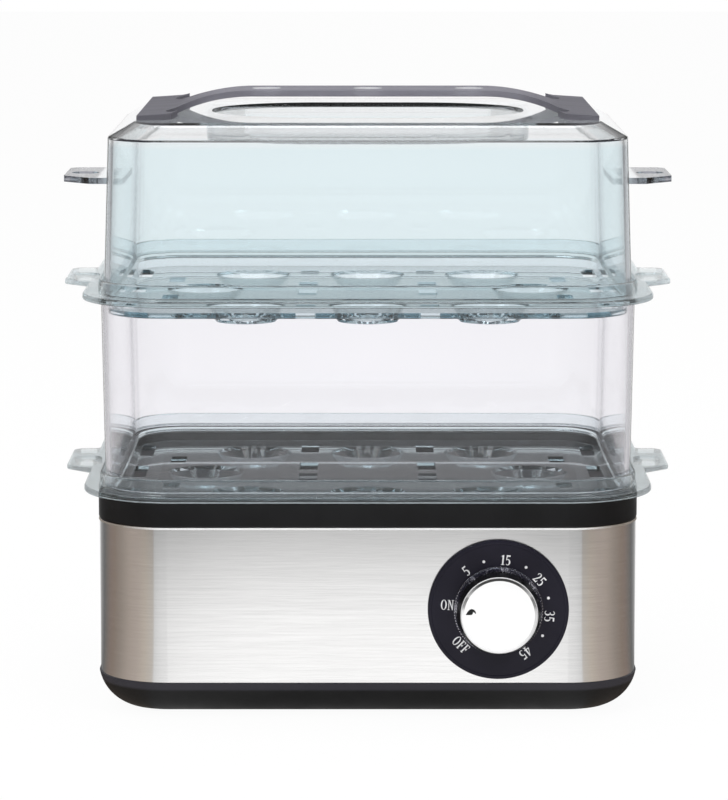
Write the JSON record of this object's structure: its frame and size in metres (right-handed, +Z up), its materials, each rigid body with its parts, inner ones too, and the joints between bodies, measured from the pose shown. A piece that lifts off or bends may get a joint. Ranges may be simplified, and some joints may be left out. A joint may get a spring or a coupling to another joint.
{
  "type": "egg boiler",
  "caption": "Countertop steam egg boiler: steel-banded base with timer knob and heating pan, clear stacking egg trays with a ring wall, and a clear lid with a handle.",
  "frame": {"origin": "middle of the part's plan, on the surface that its feet stand on", "axes": "+Z up, -Y the front with the timer knob, +X to the right of someone facing the front"},
  "size_m": [0.2292, 0.1966, 0.2253],
  "materials": {
    "base_black": "satin",
    "foot_rubber": "matte",
    "band_steel": "satin",
    "rim_black": "satin",
    "pan_coating": "satin",
    "seal_silicone": "matte",
    "fixing_steel": "satin",
    "spreader_aluminium": "satin",
    "element_steel": "satin",
    "thermostat_resin": "matte",
    "fuse_ceramic": "satin",
    "timer_case": "satin",
    "bush_brass": "satin",
    "bell_steel": "gloss",
    "dial_black": "satin",
    "knob_chrome": "gloss",
    "knob_face": "polished",
    "gland_rubber": "matte",
    "nut_plastic": "satin",
    "block_plastic": "satin",
    "terminal_brass": "satin",
    "lead_brown": "satin",
    "lead_white": "satin",
    "lead_blue": "satin",
    "lead_green": "satin",
    "tray_plastic": "gloss",
    "ring_plastic": "gloss",
    "lid_plastic": "gloss",
    "handle_plastic": "gloss"
  },
  "bodies": {
    "base": {"base_bottom": "base_black", "foot_front_left": "foot_rubber", "foot_back_left": "foot_rubber", "foot_front_right": "foot_rubber", "foot_back_right": "foot_rubber", "steel_band": "band_steel", "top_rim": "rim_black", "heating_pan": "pan_coating", "pan_seal": "seal_silicone", "pan_studs": "fixing_steel", "pan_nuts": "fixing_steel", "pan_washers": "fixing_steel", "earth_lug": "fixing_steel", "heat_spreader": "spreader_aluminium", "heating_element": "element_steel", "element_pins": "element_steel", "thermostat": "thermostat_resin", "thermostat_screws": "fixing_steel", "thermal_fuse": "fuse_ceramic", "fuse_clip": "fixing_steel", "base_screws": "fixing_steel", "timer_body": "timer_case", "timer_bush": "bush_brass", "timer_screws": "fixing_steel", "timer_bell": "bell_steel", "bell_screw": "fixing_steel", "dial_plate": "dial_black", "cord_gland": "gland_rubber", "gland_nut": "nut_plastic", "terminal_block": "block_plastic", "terminal_screws": "terminal_brass", "live_lead": "lead_brown", "switched_lead": "lead_brown", "fuse_lead": "lead_white", "element_lead": "lead_white", "neutral_lead": "lead_blue", "earth_lead": "lead_green"},
    "timer_knob": {"timer_shaft": "fixing_steel", "knob_body": "knob_chrome", "knob_spring": "fixing_steel", "knob_cap": "knob_face"},
    "lower_tray": {"lower_tray": "tray_plastic"},
    "middle_ring": {"middle_ring": "ring_plastic"},
    "upper_tray": {"upper_tray": "tray_plastic"},
    "lid": {"lid": "lid_plastic", "lid_handle": "handle_plastic"}
  },
  "joints": [
    {"name": "knob_turn", "type": "hinge", "parent": "base", "child": "timer_knob", "pos_m": [0.0475, -0.09, 0.041], "axis": [0, 1, 0], "range_deg": [-49, 232]},
    {"name": "lower_tray_lift", "type": "slide", "parent": "base", "child": "lower_tray", "axis": [0, 0, 1], "range_m": [0, 0.09]},
    {"name": "ring_lift", "type": "slide", "parent": "lower_tray", "child": "middle_ring", "axis": [0, 0, 1], "range_m": [0, 0.09]},
    {"name": "upper_tray_lift", "type": "slide", "parent": "middle_ring", "child": "upper_tray", "axis": [0, 0, 1], "range_m": [0, 0.09]},
    {"name": "lid_lift", "type": "slide", "parent": "upper_tray", "child": "lid", "axis": [0, 0, 1], "range_m": [0, 0.09]}
  ]
}
